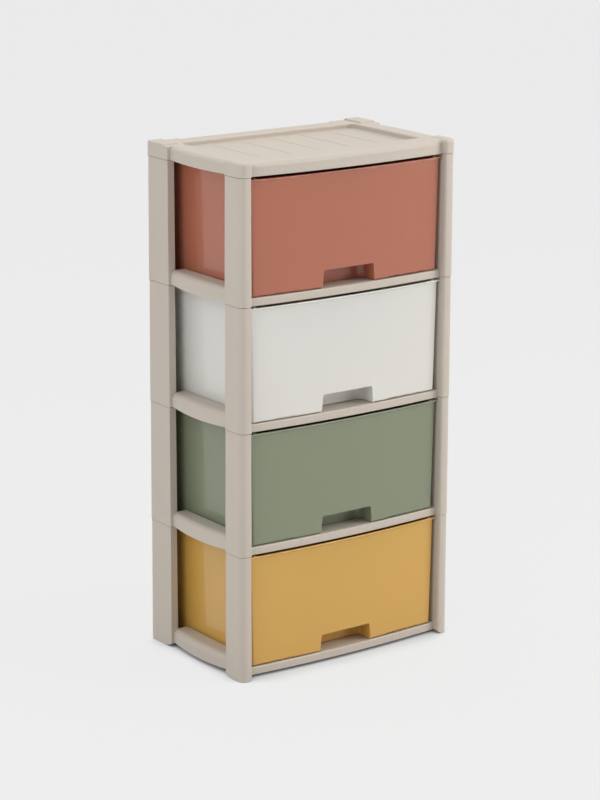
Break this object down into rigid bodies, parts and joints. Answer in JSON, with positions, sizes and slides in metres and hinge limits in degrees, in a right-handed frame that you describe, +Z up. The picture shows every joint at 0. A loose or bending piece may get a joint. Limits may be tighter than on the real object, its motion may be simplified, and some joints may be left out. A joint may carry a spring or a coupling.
{
  "type": "drawer_tower",
  "caption": "Freestanding plastic drawer tower: pull-out drawers with a finger recess stacked in an open frame of corner posts and shelves, under a shallow tray top",
  "frame": {"origin": "on the floor, under the middle of the footprint", "axes": "+X towards the right side as seen from the front, +Y towards the back, +Z up"},
  "size_m": [0.419, 0.262, 0.831],
  "materials": {
    "frame_plastic": "satin",
    "terracotta_plastic": "gloss",
    "white_plastic": "gloss",
    "sage_plastic": "gloss",
    "mustard_plastic": "gloss"
  },
  "bodies": {
    "frame": {"base_deck": "frame_plastic", "shelf_1": "frame_plastic", "shelf_2": "frame_plastic", "shelf_3": "frame_plastic", "top_tray": "frame_plastic", "front_left_post_1": "frame_plastic", "front_left_post_2": "frame_plastic", "front_left_post_3": "frame_plastic", "front_left_post_4": "frame_plastic", "front_right_post_1": "frame_plastic", "front_right_post_2": "frame_plastic", "front_right_post_3": "frame_plastic", "front_right_post_4": "frame_plastic", "rear_left_post_1": "frame_plastic", "rear_left_post_2": "frame_plastic", "rear_left_post_3": "frame_plastic", "rear_left_post_4": "frame_plastic", "rear_right_post_1": "frame_plastic", "rear_right_post_2": "frame_plastic", "rear_right_post_3": "frame_plastic", "rear_right_post_4": "frame_plastic", "front_left_glide": "frame_plastic", "front_right_glide": "frame_plastic", "rear_left_glide": "frame_plastic", "rear_right_glide": "frame_plastic"},
    "drawer_1": {"drawer_1": "mustard_plastic"},
    "drawer_2": {"drawer_2": "sage_plastic"},
    "drawer_3": {"drawer_3": "white_plastic"},
    "drawer_4": {"drawer_4": "terracotta_plastic"}
  },
  "joints": [
    {"name": "drawer_1_slide", "type": "slide", "parent": "frame", "child": "drawer_1", "axis": [0, -1, 0], "range_m": [0, 0.18]},
    {"name": "drawer_2_slide", "type": "slide", "parent": "frame", "child": "drawer_2", "axis": [0, -1, 0], "range_m": [0, 0.18]},
    {"name": "drawer_3_slide", "type": "slide", "parent": "frame", "child": "drawer_3", "axis": [0, -1, 0], "range_m": [0, 0.18]},
    {"name": "drawer_4_slide", "type": "slide", "parent": "frame", "child": "drawer_4", "axis": [0, -1, 0], "range_m": [0, 0.18]}
  ]
}
